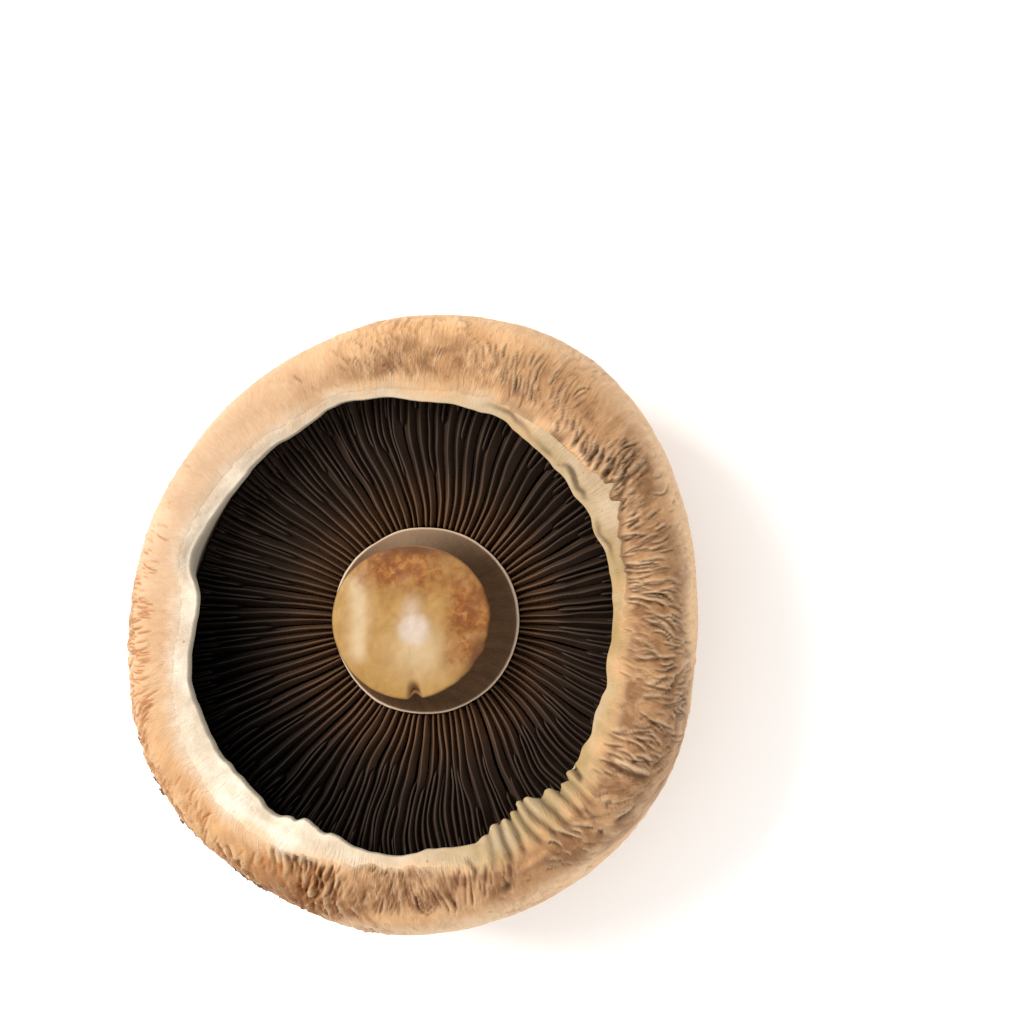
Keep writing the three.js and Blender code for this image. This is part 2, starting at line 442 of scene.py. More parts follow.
# Patches of creases: middle direction and half-width of the patch in degrees, its nearest and furthest
# distance from the lip, the number of creases, then each one's half-length, half-width, slant in radians away
# from straight outwards, depth, darkness and rust.
CREASED = [
    (2, 34, 3.0, 17, 150, 1.9, 0.2, 0.0, 0.42, 0.9, 0.0),
    (338, 16, 3.5, 20, 70, 2.0, 0.22, 0.45, 0.42, 0.9, 0.0),
    (320, 14, 7.0, 21, 60, 1.5, 0.24, 1.1, 0.45, 0.8, 0.1),
    (302, 18, 10.5, 19, 40, 1.3, 0.2, 1.0, 0.3, 0.5, 0.2),
    (38, 28, 5.0, 12, 150, 1.5, 0.17, 0.1, 0.28, 0.9, 0.0),
    (82, 28, 4.0, 11, 130, 1.4, 0.16, 0.3, 0.18, 0.7, 0.3),
    (188, 44, 8.5, 24, 420, 1.6, 0.19, 0.1, 0.16, 0.25, 1.5),
    (140, 26, 12, 24, 60, 1.0, 0.17, 0.0, 0.12, 0.05, 0.7),
    (247, 12, 4.5, 11, 45, 2.2, 0.3, 0.4, 0.55, 0.6, 1.3),
    (250, 17, 11, 22, 80, 1.9, 0.28, 1.0, 0.55, 0.6, 1.3),
    (222, 20, 13, 25, 130, 1.3, 0.28, 0.7, 0.4, 0.5, 1.3),
    (272, 20, 1.5, 10, 220, 1.8, 0.2, 0.15, 0.28, 0.85, 0.6),
    (36, 15, 4.6, 8.5, 34, 1.3, 0.32, 0.2, 0.6, 1.4, 0.0),
    (60, 40, 14, 24, 60, 1.2, 0.18, 0.1, 0.14, 0.2, 0.2),
    (0, 30, 18, 26, 50, 1.1, 0.18, 0.0, 0.16, 0.3, 0.1),
]
# The large ones, one by one: direction in degrees, distance from the lip, half-length, half-width, slant,
# bend, depth, darkness and rust.
LARGE_CREASES = [
    (327.4, 9.5, 5.0, 0.5, 0.17, 0.02, 0.9, 1.1, 0.0), (332.5, 14.5, 1.9, 0.34, 1.1, 0.05, 0.5, 0.9, 0.0),
    (320.1, 14.0, 3.0, 0.38, 1.27, 0.03, 0.6, 0.95, 0.0), (320.0, 20.0, 1.4, 0.3, 1.1, 0.0, 0.4, 0.5, 0.8),
    (335.2, 11.0, 0.6, 0.35, 0.0, 0.0, 0.3, 0.9, 0.0), (337.5, 13.5, 0.6, 0.35, 0.4, 0.0, 0.3, 0.8, 0.0),
    (319.7, 9.0, 0.9, 0.35, 1.2, 0.0, 0.4, 0.9, 0.0), (314.2, 12.0, 0.9, 0.35, 0.0, 0.0, 0.4, 0.9, 0.0),
    (352.0, 7.0, 2.6, 0.32, 0.2, 0.06, 0.5, 0.8, 0.0), (9.0, 8.5, 2.8, 0.3, -0.1, 0.08, 0.5, 0.8, 0.0),
    (344.0, 9.0, 2.2, 0.34, 0.3, -0.05, 0.5, 0.8, 0.0), (41.0, 5.6, 1.8, 0.4, 0.1, 0.0, 0.6, 1.0, 0.0),
    (36.0, 6.6, 1.5, 0.34, 0.1, 0.0, 0.5, 1.0, 0.0), (46.0, 6.0, 1.8, 0.32, 0.2, 0.05, 0.5, 1.0, 0.0),
    (252.0, 7.5, 2.6, 0.4, 0.5, 0.1, 0.6, 0.9, 1.0), (245.5, 8.0, 2.4, 0.36, 0.4, 0.1, 0.5, 0.8, 1.0),
]
CREASE_SEED = 61
GOLDEN_STEP = 0.618034  # spreads the creases of a patch evenly, whatever their number


def scattered_creases():
    """Every crease of the skin, as LARGE_CREASES gives them but with its direction in radians."""
    chance = np.random.default_rng(CREASE_SEED)
    placed = [(math.radians(direction), *numbers) for direction, *numbers in LARGE_CREASES]
    for middle, half, nearest, furthest, count, length, width, slant, depth, darkness, rust in CREASED:
        share = 2 * ((np.arange(count) * GOLDEN_STEP + chance.uniform(0, 1)) % 1) - 1
        offset = 1.2 * half * np.sign(share) * (1 - np.sqrt(1 - np.abs(share)))
        direction = np.mod(np.radians(middle + offset), TURN)
        place = nearest + (furthest - nearest) * (chance.permutation(count) + 0.5) / count
        size = np.maximum(0.25, 0.75 + 1.1 * field(62, 40, 5, direction, place))
        size = size * chance.uniform(0.6, 1.25, count)
        swing = field(63, 34, 6, direction, place)
        strength = np.minimum(1, size) * chance.uniform(0.5, 1.1, count)
        half_length = size ** 0.7 * length * chance.uniform(0.6, 1.4, count)
        half_width = width * chance.uniform(0.75, 1.2, count)
        slants = slant + 0.6 * swing + chance.uniform(-0.15, 0.15, count)
        bend = 0.15 * swing + chance.uniform(-0.14, 0.14, count)
        placed += zip(
            direction, place, half_length, half_width, slants, bend,
            size * depth, strength * darkness, strength * rust,
        )
    return placed


CREASES = scattered_creases()


def creases(angle, along):
    """All the creases, each with a pale shoulder on one side: their height, darkness, paleness and rust.

    The darkness is painted shade in the groove and the paleness a painted highlight on the shoulder.
    """
    angle, along = np.broadcast_arrays(np.mod(angle, TURN), along)
    order = np.argsort(angle, axis=None)
    sorted_angle, out = angle.ravel()[order], along.ravel()
    relief, dark, pale, rusty = totals = np.zeros((4, angle.size))
    for middle, place, length, width, slant, bend, depth, darkness, rust in CREASES:
        window = (8 * width + abs(math.sin(slant)) * length + abs(bend) * length ** 2) / CAP_RADIUS
        for lap in (-TURN, 0, TURN):
            low, high = np.searchsorted(sorted_angle, (middle + lap - window, middle + lap + window))
            if low == high:
                continue
            near = order[low:high]
            outwards = out[near] - place
            across = (sorted_angle[low:high] - middle - lap) * CAP_RADIUS
            lengthwise = outwards * math.cos(slant) + across * math.sin(slant)
            off = across * math.cos(slant) - outwards * math.sin(slant) - bend * lengthwise ** 2
            there = 1 - smooth(0.5, 1.0, np.abs(lengthwise) / length)
            groove = there * np.exp(-(off / width) ** 2)
            shoulder = there * np.exp(-((off - 2.5 * width) / (1.6 * width)) ** 2)
            # Besides its relief, the groove is painted with shade and the shoulder with a painted highlight.
            relief[near] += depth * (0.3 * shoulder - groove)
            dark[near] = np.maximum(dark[near], darkness * groove)
            pale[near] = np.maximum(pale[near], 1.1 * depth * shoulder)
            rusty[near] = np.maximum(rusty[near], rust * groove)
    return totals.reshape((4,) + angle.shape)


def skin(angle, along):
    """How far the skin stands out, in millimetres, and its markings, at angles and distances from the lip."""
    root = strand(angle, along)
    fray = fray_at(angle)
    past = along - skin_start(angle)
    on_skin = smooth(-0.5, 1.0, past)

    # Wrinkles that follow the strands: ridges with grooves between them, and small ones with nicks.
    patch = 0.35 + 0.9 * smooth(-0.45, 0.35, layered(35, 22, 9, root, along, 2))
    depth = around(WRINKLES, angle) * smooth(0.2, 2.5, past) * (1 - smooth(16, 22, along)) * patch
    outer_depth = around(OUTER_WRINKLES, angle) * between(11, 31, along, 3) * patch
    ridges = layered(22, 215, 3.6, root, along, 2)
    grooves = np.exp(-(ridges / 0.13) ** 2) * smooth(-0.35, 0.25, field(23, 70, 4, root, along))
    small = layered(26, 420, 2.4, root, along, 2)
    nicks = np.exp(-((small + 0.1) / 0.17) ** 2) * smooth(-0.1, 0.4, field(27, 120, 3, root, along))
    relief = (depth + 0.6 * outer_depth) * (0.8 * ridges - 0.55 * grooves)
    relief += (0.35 * depth + outer_depth) * (0.45 * small - 0.3 * nicks)

    # Larger dents of the margin.
    relief += 0.45 * layered(24, 14, 16, angle, along, 2) * smooth(2, 9, along)
    relief += 0.22 * layered(28, 60, 4, angle, along, 2) * smooth(2, 6, along) * (0.3 + depth)

    # The flesh's cream runs out softly over the skin, except where that is torn.
    soft = 0.3 + 2.9 * (1 - fray)
    wandering = 2.2 * layered(15, 70, 5, root, along, 3) + 1.4 * np.abs(small) - 0.4
    cream = (1 - smooth(-soft, soft, past + (1 - fray) * wandering)) * (1 - torn_share(fray))

    # Browned skin next to the flesh, and a dark line along its torn edge, partly brown skin and partly
    # painted shadow of that edge.
    reach = around(BROWN_REACH, angle) + 1.5 * field(33, 30, 40, angle, 0 * along)
    brown = around(BROWNNESS, angle) * smooth(0, 3, past) * (1 - smooth(reach - 3.5, reach + 3.5, along))
    brown = brown * (0.95 + 0.7 * layered(31, 46, 6, root, along, 3))
    torn_edge = fray * np.exp(-((past - 0.5) / 0.9) ** 2) * smooth(-0.7, 0.1, field(32, 80, 30, root, along))

    # The cluster of torn fibres, and the rust in the grooves.
    cluster = np.minimum(1, 1.6 * facing(angle, BROWN_CLUSTER, 16))
    cluster = cluster * between(5, 19, along, 2.5) * on_skin
    relief += 0.5 * cluster * (0.8 * ridges - 0.5 * grooves)
    rust = around(RUST, angle) * between(9, 28, along, 3) * (nicks + 0.6 * grooves) * patch
    rust += 0.35 * around(RUST, angle) ** 2 * between(15, 29, along, 3) * smooth(-0.5, 0.4, small + ridges)
    rust += cluster * (grooves + 0.7 * nicks)

    crease_relief, crease_dark, crease_highlights, crease_rust = creases(angle, along)
    relief += crease_relief * on_skin
    rust += crease_rust * on_skin
    # Painted shade darkens the grooves, nicks and creases; along the torn edge the dark is partly brown skin
    # and partly painted shadow.
    dark = 0.9 * depth * grooves + 0.85 * torn_edge
    dark += (0.4 * depth + 0.8 * outer_depth) * nicks
    dark += crease_dark * on_skin
    # Painted highlights on the ridge tops, the crease shoulders and the margin's outer strip.
    pale = 0.9 * depth * smooth(0.25, 0.7, ridges) + 0.7 * outer_depth * smooth(0.25, 0.7, small)
    pale += crease_highlights * on_skin
    pale += around(PAINTED_EDGE_LIGHT, angle) * between(15, 25, along, 3) * (0.8 + 0.5 * small)

    strokes = around(STROKES, angle) * between(2, 13, along, 2)
    strokes = strokes * smooth(-0.6, 0.5, layered(36, 30, 6, root, along, 2))
    strokes += around(OUTER_STROKES, angle) * between(12, 30, along, 2)
    yellow_end = around(YELLOW_REACH, angle) + 0.6 * field(37, 60, 30, angle, 0 * along)
    return relief, {
        "cream": cream, "brown": brown, "dark": dark, "pale": pale, "rust": rust, "strokes": strokes,
        "yellow": around(YELLOWING, angle) * (1 - 0.55 * smooth(-0.8, 0.8, along - yellow_end)),
        "dull": around(DULLNESS, angle) + 0.4 * layered(34, 60, 3, angle, along, 3),
        "gold": around(GOLD, angle) + 0 * along,
    }


# Marks by the fold, one by one: creases, pits and one ridge. Direction in degrees, middle as a distance from
# the lip, half-width round the cap, half-length outwards, depth (negative stands out) and darkness.
FOLD_MARKS = [
    (286.5, 4.5, 0.45, 1.8, 0.8, 0.8), (289.0, 6.8, 0.4, 1.6, 0.7, 0.7), (283.0, 5.5, 0.35, 1.8, 0.5, 0.6),
    (292.3, 11.0, 0.9, 0.9, 0.9, 0.9), (294.0, 8.4, 0.35, 1.2, 0.6, 0.7), (300.5, 9.4, 3.2, 0.55, -0.8, 0.0),
    (320.2, 1.2, 0.5, 1.7, 1.0, 1.0), (316.0, 8.0, 0.4, 2.2, 0.6, 0.7),
]
FOLD_RADIUS = 48  # how far the marks are from the middle of the cap
PLEATS = 100  # as many as a whole turn would hold


def lip_fold(angle, along):
    """The stretch of margin that folds inwards: short pleats across it, and single marks behind it.

    The pleats' valleys and the marks' hollows are darkened with painted shade.
    """
    there = np.minimum(1, 2.2 * facing(angle, FOLD_DIRECTION, 20)) * between(-1.5, 7.5, along, 1.5)
    phase = PLEATS / 2 * angle + 1.3 * field(41, 40, 9, angle, along) + 0.25 * field(43, 120, 3, angle, along)
    rounded = np.sin(phase) ** 2 * (0.7 + 0.5 * field(44, 50, 12, angle, along))
    valley = np.exp(-rounded / 0.16)
    # The pleats' valleys are painted darker: painted shade.
    relief, dark = there * (1.5 * rounded ** 0.6 - 0.7), there * valley
    for direction, middle, half_width, half_length, depth, darkness in FOLD_MARKS:
        bend = 0.5 * np.sin(0.9 * (along - middle) + direction) * (half_length > 1)
        off = np.radians((np.degrees(angle) - direction + 180) % 360 - 180) * FOLD_RADIUS + bend
        spot = np.exp(-(off / half_width) ** 2 - ((along - middle) / half_length) ** 4)
        relief, dark = relief - depth * spot, dark + darkness * spot
    return relief, np.clip(dark, 0, 1)


def veil_line(angle, along):
    """The dark line between the flesh and the thin rest of the veil along the lip."""
    level = 0 * along
    there = facing(angle, 34, 26) + facing(angle, 62, 10) * 0.4
    there = there * smooth(-0.9, 0.0, field(57, 70, 30, angle, level))
    place = 1.2 + 0.5 * field(55, 60, 30, angle, level) + 0.25 * field(56, 190, 30, angle, level)
    return there * np.exp(-((along - place) / 0.45) ** 2)


# ---------------------------------------------------------------- materials

def add(tree, kind, settings=(), **values):
    """Adds a shader node, with its settings and the values of its sockets."""
    node = tree.nodes.new("ShaderNode" + kind)
    for name, value in dict(settings).items():
        setattr(node, name, value)
    for name, value in values.items():
        put(tree, node.inputs[name.replace("_", " ")], value)
    return node


def put(tree, socket, value):
    """Sets a socket to a number or a colour, or links it to another node's output."""
    if isinstance(value, bpy.types.NodeSocket):
        tree.links.new(value, socket)
    else:
        socket.default_value = value


def math_node(tree, operation, a, b, c=0.0):
    """The result of a calculation with two or three numbers."""
    node = add(tree, "Math", {"operation": operation})
    for socket, value in zip(node.inputs, (a, b, c)):
        put(tree, socket, value)
    return node.outputs[0]


def times(tree, a, b):
    return math_node(tree, "MULTIPLY", a, b)


def mix_colour(tree, share, a, b):
    """Goes from colour a to colour b as the share goes from 0 to 1."""
    node = add(tree, "Mix", {"data_type": "RGBA", "clamp_factor": True})
    put(tree, node.inputs["Factor"], share)
    for name, value in (("A", a), ("B", b)):
        socket = [i for i in node.inputs if i.name == name and i.type == "RGBA"][0]
        put(tree, socket, value if isinstance(value, bpy.types.NodeSocket) else (*value, 1))
    return [o for o in node.outputs if o.type == "RGBA"][0]


def layers(tree, colour, *laid):
    """A colour with others laid over it one after another, each given as its share and its colour."""
    for share, other in laid:
        colour = mix_colour(tree, share, colour, other)
    return colour


def remap(tree, value, low, high, to_low=0.0, to_high=1.0):
    """Turns low into to_low and high into to_high, smoothly and never further."""
    node = add(tree, "MapRange", {"interpolation_type": "SMOOTHSTEP"}, Value=value)
    for name, number in (("From Min", low), ("From Max", high), ("To Min", to_low), ("To Max", to_high)):
        put(tree, node.inputs[name], number)
    return node.outputs["Result"]


def vector_math(tree, operation, *values):
    """The result of a calculation with vectors."""
    node = add(tree, "VectorMath", {"operation": operation})
    for socket, value in zip(node.inputs, values):
        put(tree, socket, value)
    return node.outputs[0]


def bent(tree, vector, scale, reach):
    """The vector, pushed aside by up to a reach, in the vector's own unit, by noise of a scale."""
    push = add(tree, "TexNoise", Vector=vector, Scale=scale, Detail=2.0).outputs["Color"]
    return vector_math(tree, "MULTIPLY_ADD", push, reach, vector)


def new_group(name, **numbers):
    """Starts an effect that several materials share: from a vector and some numbers it makes one value."""
    tree = bpy.data.node_groups.new(name, "ShaderNodeTree")
    tree.interface.new_socket("Vector", in_out="INPUT", socket_type="NodeSocketVector")
    for socket, default in numbers.items():
        made = tree.interface.new_socket(socket, in_out="INPUT", socket_type="NodeSocketFloat")
        made.default_value = default
    tree.interface.new_socket("Value", in_out="OUTPUT", socket_type="NodeSocketFloat")
    start = tree.nodes.new("NodeGroupInput")
    end = tree.nodes.new("NodeGroupOutput")
    return tree, start.outputs, end.inputs["Value"]


def fibres_group():
    """Fine strands, longer along the third part of Vector than across the other two, and curled by Curl."""
    tree, given, out = new_group("fibres", Across=900.0, Along=60.0, Curl=0.004)
    curl = add(tree, "CombineXYZ", X=given["Curl"], Y=given["Curl"], Z=given["Curl"]).outputs[0]
    scale = add(tree, "CombineXYZ", X=given["Across"], Y=given["Across"], Z=given["Along"]).outputs[0]
    strands = vector_math(tree, "MULTIPLY", bent(tree, given["Vector"], 190.0, curl), scale)
    coarse = add(tree, "TexNoise", Vector=strands, Scale=1.0, Detail=3.0, Roughness=0.6).outputs["Fac"]
    fine = add(tree, "TexNoise", Vector=strands, Scale=2.7, Detail=2.0, Roughness=0.6).outputs["Fac"]
    both = math_node(tree, "MULTIPLY_ADD", fine, 0.35, times(tree, coarse, 0.65))
    tree.links.new(remap(tree, both, 0.33, 0.67), out)
    return tree


def mottle_group():
    """Soft blotches, with smaller ones inside them."""
    tree, given, out = new_group("mottle", Scale=60.0, Contrast=0.15)
    blotches = add(tree, "TexNoise", Vector=given["Vector"], Scale=given["Scale"], Detail=6.0, Roughness=0.62,
                   Distortion=0.4).outputs["Fac"]
    low = math_node(tree, "SUBTRACT", 0.5, given["Contrast"])
    high = math_node(tree, "ADD", 0.5, given["Contrast"])
    tree.links.new(remap(tree, blotches, low, high), out)
    return tree


def flecks_group():
    """Small spots, each at its own place and of its own size."""
    tree, given, out = new_group("flecks", Scale=300.0, Size=0.12)
    spots = add(tree, "TexVoronoi", {"feature": "F1"}, Vector=given["Vector"], Scale=given["Scale"],
                Randomness=1.0)
    chance = add(tree, "SeparateColor", Color=spots.outputs["Color"]).outputs["Red"]
    reach = times(tree, given["Size"], remap(tree, chance, 0.55, 1.0))
    outer = math_node(tree, "ADD", reach, 0.001)
    tree.links.new(remap(tree, spots.outputs["Distance"], times(tree, reach, 0.5), outer, 1.0, 0.0), out)
    return tree


def cracks_group():
    """Thin, broken lines like those of old leather."""
    tree, given, out = new_group("cracks", Scale=170.0, Width=0.04)
    curled = bent(tree, given["Vector"], 260.0, (0.006, 0.006, 0.006))
    cells = add(tree, "TexVoronoi", {"feature": "DISTANCE_TO_EDGE"}, Vector=curled, Scale=given["Scale"],
                Randomness=1.0).outputs["Distance"]
    line = remap(tree, cells, 0.0, given["Width"], 1.0, 0.0)
    broken = add(tree, "TexNoise", Vector=given["Vector"], Scale=130.0, Detail=3.0).outputs["Fac"]
    tree.links.new(times(tree, line, remap(tree, broken, 0.5, 0.62)), out)
    return tree


FIBRES, MOTTLE, FLECKS, CRACKS = fibres_group(), mottle_group(), flecks_group(), cracks_group()


def effect(tree, group, **values):
    """The value that a shared effect gives."""
    node = tree.nodes.new("ShaderNodeGroup")
    node.node_tree = group
    for name, value in values.items():
        put(tree, node.inputs[name], value)
    return node.outputs["Value"]


def attribute(tree, name, output="Fac"):
    """What was painted on the mesh under a name."""
    return add(tree, "Attribute", {"attribute_name": name}).outputs[output]


def new_material(name):
    """An empty material, its node tree, its surface shader and the place of a point on the object."""
    material = bpy.data.materials.new(name)
    material.use_nodes = True
    tree = material.node_tree
    where = tree.nodes.new("ShaderNodeTexCoord").outputs["Object"]
    return material, tree, tree.nodes["Principled BSDF"], where


def finish_surface(tree, shader, colour, roughness, shine, height, depth):
    """Gives a shader its colour, roughness, shine and bumps: a height from 0 to 1, a depth in millimetres."""
    put(tree, shader.inputs["Base Color"], colour)
    put(tree, shader.inputs["Roughness"], roughness)
    put(tree, shader.inputs["Specular IOR Level"], shine)
    node = add(tree, "Bump", Height=height, Distance=depth * MM, Strength=1.0)
    tree.links.new(node.outputs["Normal"], shader.inputs["Normal"])


def skin_colours(tree, where, grain):
    """The skin's colour from its markings, and the strokes, hairs and spots that are in it."""
    strokes = effect(tree, FIBRES, Vector=grain, Across=1350.0, Along=260.0, Curl=0.0014)
    hairs = effect(tree, FIBRES, Vector=grain, Across=2900.0, Along=520.0, Curl=0.001)
    patches = effect(tree, MOTTLE, Vector=where, Scale=42.0, Contrast=0.16)
    spots = effect(tree, MOTTLE, Vector=where, Scale=185.0, Contrast=0.16)
    plain = attribute(tree, "strokes")
    golden = mix_colour(tree, patches, (0.46, 0.225, 0.075), (0.57, 0.315, 0.125))
    colour = layers(
        tree, mix_colour(tree, patches, (0.44, 0.305, 0.198), (0.51, 0.38, 0.27)),
        (attribute(tree, "gold"), golden),
        (times(tree, attribute(tree, "brown"), remap(tree, spots, 0, 1, 1.1, 0.6)), (0.185, 0.088, 0.036)),
        (times(tree, plain, remap(tree, strokes, 0.42, 0.05, 0.0, 0.7)), (0.20, 0.078, 0.025)),
        (times(tree, plain, remap(tree, strokes, 0.65, 1.0, 0.0, 0.35)), (0.74, 0.56, 0.37)),
        # Painted highlights: ridge tops, crease shoulders and the margin's outer strip.
        (times(tree, attribute(tree, "pale"), 0.55), (0.66, 0.50, 0.33)),
        (times(tree, attribute(tree, "rust"), 0.9), (0.33, 0.125, 0.034)),
        # Mostly painted shade: grooves, nicks, creases and the fold's valleys, with the dark line by the torn
        # edge.
        (times(tree, attribute(tree, "dark"), 0.85), (0.075, 0.034, 0.014)),
        (remap(tree, hairs, 0.5, 0.0, 0.0, 0.16), (0.32, 0.17, 0.075)),
    )
    return colour, strokes, hairs, spots


def cap_material():
    """Tan, fibrous skin with brown mottling, pale flesh next to the lip, and dark flesh under the gills.

    Painted shade darkens its grooves, creases, folds and the wall under the lip, and painted highlights
    lighten its ridge tops, crease shoulders and the margin's outer strip.
    """
    material, tree, shader, where = new_material("mushroom_skin")
    grain = attribute(tree, "grain", "Vector")
    skin_colour, strokes, hairs, spots = skin_colours(tree, where, grain)
    grit = effect(tree, MOTTLE, Vector=where, Scale=1000.0, Contrast=0.22)

    # The dome: long pale streaks, dark and light blotches, and broken lines.
    dome = attribute(tree, "dome")
    streaks = effect(tree, FIBRES, Vector=grain, Across=260.0, Along=26.0, Curl=0.012)
    blotches = effect(tree, MOTTLE, Vector=where, Scale=26.0, Contrast=0.12)
    lines = effect(tree, CRACKS, Vector=where, Scale=170.0, Width=0.06)
    top = layers(
        tree, mix_colour(tree, streaks, (0.42, 0.20, 0.068), (0.60, 0.345, 0.145)),
        (remap(tree, blotches, 0.0, 0.45, 0.6, 0.0), (0.30, 0.125, 0.038)),
        (remap(tree, blotches, 0.7, 1.0, 0.0, 0.5), (0.66, 0.43, 0.22)),
        (remap(tree, strokes, 0.45, 0.1, 0.0, 0.35), (0.28, 0.12, 0.04)),
        (times(tree, lines, 0.7), (0.16, 0.065, 0.022)),
    )

    # The pale flesh: duller and yellower in places, with grey clouds, dark grooves painted with shade, a dark
    # line by the veil and a few specks.
    clouds = effect(tree, MOTTLE, Vector=where, Scale=75.0, Contrast=0.14)
    specks = effect(tree, FLECKS, Vector=where, Scale=620.0, Size=0.26)
    gathered = effect(tree, MOTTLE, Vector=where, Scale=90.0, Contrast=0.1)
    specks = times(tree, specks, remap(tree, gathered, 0.6, 1.0))
    cream = layers(
        tree, (0.74, 0.655, 0.545),
        (attribute(tree, "dull"), (0.31, 0.215, 0.14)),
        (times(tree, attribute(tree, "yellow"), 0.85), (0.25, 0.166, 0.056)),
        (remap(tree, spots, 0.0, 1.0, 0.25, 0.0), (0.36, 0.27, 0.17)),
        (remap(tree, strokes, 0.4, 0.0, 0.0, 0.06), (0.34, 0.23, 0.13)),
        (remap(tree, clouds, 0.6, 0.0, 0.0, 0.4), (0.40, 0.31, 0.21)),
        # Painted shade in the fold's valleys and hollows, and the dark line by the veil.
        (times(tree, attribute(tree, "dark"), 0.85), (0.06, 0.034, 0.014)),
        (times(tree, specks, 0.6), (0.16, 0.10, 0.05)),
    )
    colour = layers(
        tree, skin_colour,
        (dome, top),
        (attribute(tree, "cream"), cream),
        # Painted shade on the wall that runs down under the lip to the gills, greyer and darker.
        (attribute(tree, "wall"), (0.36, 0.315, 0.245)),
        (attribute(tree, "bed"), (0.03, 0.017, 0.011)),
    )
    height = times(tree, strokes, attribute(tree, "rough"))
    height = math_node(tree, "MULTIPLY_ADD", height, 0.8, times(tree, grit, 0.12))
    height = math_node(tree, "MULTIPLY_ADD", hairs, 0.1, height)
    height = math_node(tree, "MULTIPLY_ADD", times(tree, lines, dome), -0.5, height)
    finish_surface(tree, shader, colour, remap(tree, grit, 0.0, 1.0, 0.52, 0.72), 0.18, height, 0.28)
    return material


def scale_material():
    """Loose scales of the skin: dark at the root, paler and drier towards the tip, some with a burnt tip."""
    material, tree, shader, where = new_material("mushroom_scales")
    grain = attribute(tree, "grain", "Vector")
    strands = effect(tree, FIBRES, Vector=grain, Across=1300.0, Along=120.0, Curl=0.002)
    patches = effect(tree, MOTTLE, Vector=where, Scale=60.0, Contrast=0.2)
    tan = mix_colour(tree, patches, (0.50, 0.275, 0.105), (0.63, 0.40, 0.20))
    pale = mix_colour(tree, attribute(tree, "tone"), tan, (0.74, 0.56, 0.36))
    colour = layers(
        tree, (0.34, 0.165, 0.06),
        (attribute(tree, "tip"), pale),
        (remap(tree, strands, 0.0, 0.7, 0.45, 0.0), (0.36, 0.19, 0.075)),
        (attribute(tree, "burnt"), (0.075, 0.034, 0.016)),
    )
    finish_surface(tree, shader, colour, remap(tree, strands, 0.0, 1.0, 0.55, 0.75), 0.18, strands, 0.08)
    return material


def gill_material():
    """Ripe gills: chocolate brown to black, with a lighter free edge, most of all near the stem.

    Their foot is painted lighter, as painted light in the shade deep between them, and a painted shadow of
    the rim blackens them near the lip at -X.
    """
    material, tree, shader, where = new_material("gills")
    mottled = effect(tree, MOTTLE, Vector=where, Scale=210.0, Contrast=0.2)
    near_stem = remap(tree, attribute(tree, "out"), 0.0, 0.5, 1.0, 0.0)
    tip = attribute(tree, "tip")
    body = layers(
        tree, (0.033, 0.020, 0.014),
        (attribute(tree, "tone"), (0.050, 0.030, 0.021)),
        (times(tree, near_stem, 0.9), (0.105, 0.053, 0.027)),
    )
    # The foot is painted lighter than the body: painted light that lifts the shade deep between the gills.
    foot = mix_colour(tree, near_stem, (0.100, 0.062, 0.042), (0.26, 0.135, 0.068))
    edge = mix_colour(tree, near_stem, (0.046, 0.030, 0.022), (0.130, 0.068, 0.035))
    lit = times(tree, remap(tree, tip, 0.5, 1.0), remap(tree, mottled, 0, 1, 0.6, 1))
    colour = layers(
        tree, foot,
        (remap(tree, tip, 0.0, 0.5), body),
        (lit, edge),
        (times(tree, mottled, 0.3), (0.014, 0.008, 0.0055)),
        # Painted shadow of the rim: black on the gills near the lip at -X.
        (attribute(tree, "rim_shadow"), (0.0022, 0.0014, 0.0011)),
    )
    finish_surface(tree, shader, colour, remap(tree, mottled, 0.0, 1.0, 0.5, 0.7), 0.08, mottled, 0.05)
    return material


def stem_material():
    """The stem: a silky greyish-brown side, lighter towards +Y as painted light, a pale collar, and a golden
    cut end that turned brown as it dried, with painted shade along its rim towards +Y and +X.
    """
    material, tree, shader, where = new_material("stem")
    grain = attribute(tree, "grain", "Vector")
    strands = effect(tree, FIBRES, Vector=grain, Across=700.0, Along=60.0, Curl=0.002)
    blotches = effect(tree, MOTTLE, Vector=where, Scale=170.0, Contrast=0.26)
    fine = effect(tree, MOTTLE, Vector=where, Scale=560.0, Contrast=0.16)
    grit = effect(tree, MOTTLE, Vector=where, Scale=800.0, Contrast=0.2)
    side = layers(
        tree, mix_colour(tree, strands, (0.060, 0.030, 0.014), (0.085, 0.046, 0.023)),
        # Painted light: the side facing +Y is lighter.
        (attribute(tree, "lit_side"), (0.19, 0.125, 0.078)),
        (attribute(tree, "collar"), (0.50, 0.385, 0.28)),
    )
    stain = times(tree, attribute(tree, "stain"), remap(tree, blotches, 0.0, 1.0, 1.5, 0.5))
    face = layers(
        tree, mix_colour(tree, blotches, (0.222, 0.116, 0.029), (0.285, 0.166, 0.054)),
        (attribute(tree, "pale"), (0.37, 0.27, 0.155)),
        (stain, (0.165, 0.056, 0.012)),
        (times(tree, stain, remap(tree, fine, 0.5, 0.0, 0.0, 0.55)), (0.10, 0.032, 0.008)),
        (times(tree, stain, remap(tree, fine, 0.6, 1.0, 0.0, 0.35)), (0.36, 0.18, 0.05)),
        (attribute(tree, "core"), (0.385, 0.31, 0.25)),
    )
    colour = mix_colour(tree, attribute(tree, "cut"), side, face)
    # Darker in the notch, and painted shade along the cut end's rim.
    colour = mix_colour(tree, attribute(tree, "dark"), colour, (0.09, 0.035, 0.012))
    height = math_node(tree, "MULTIPLY_ADD", blotches, 0.5, times(tree, grit, 0.2))
    finish_surface(tree, shader, colour, remap(tree, grit, 0.0, 1.0, 0.42, 0.62), 0.15, height, 0.14)
    return material


# ---------------------------------------------------------------- the cap

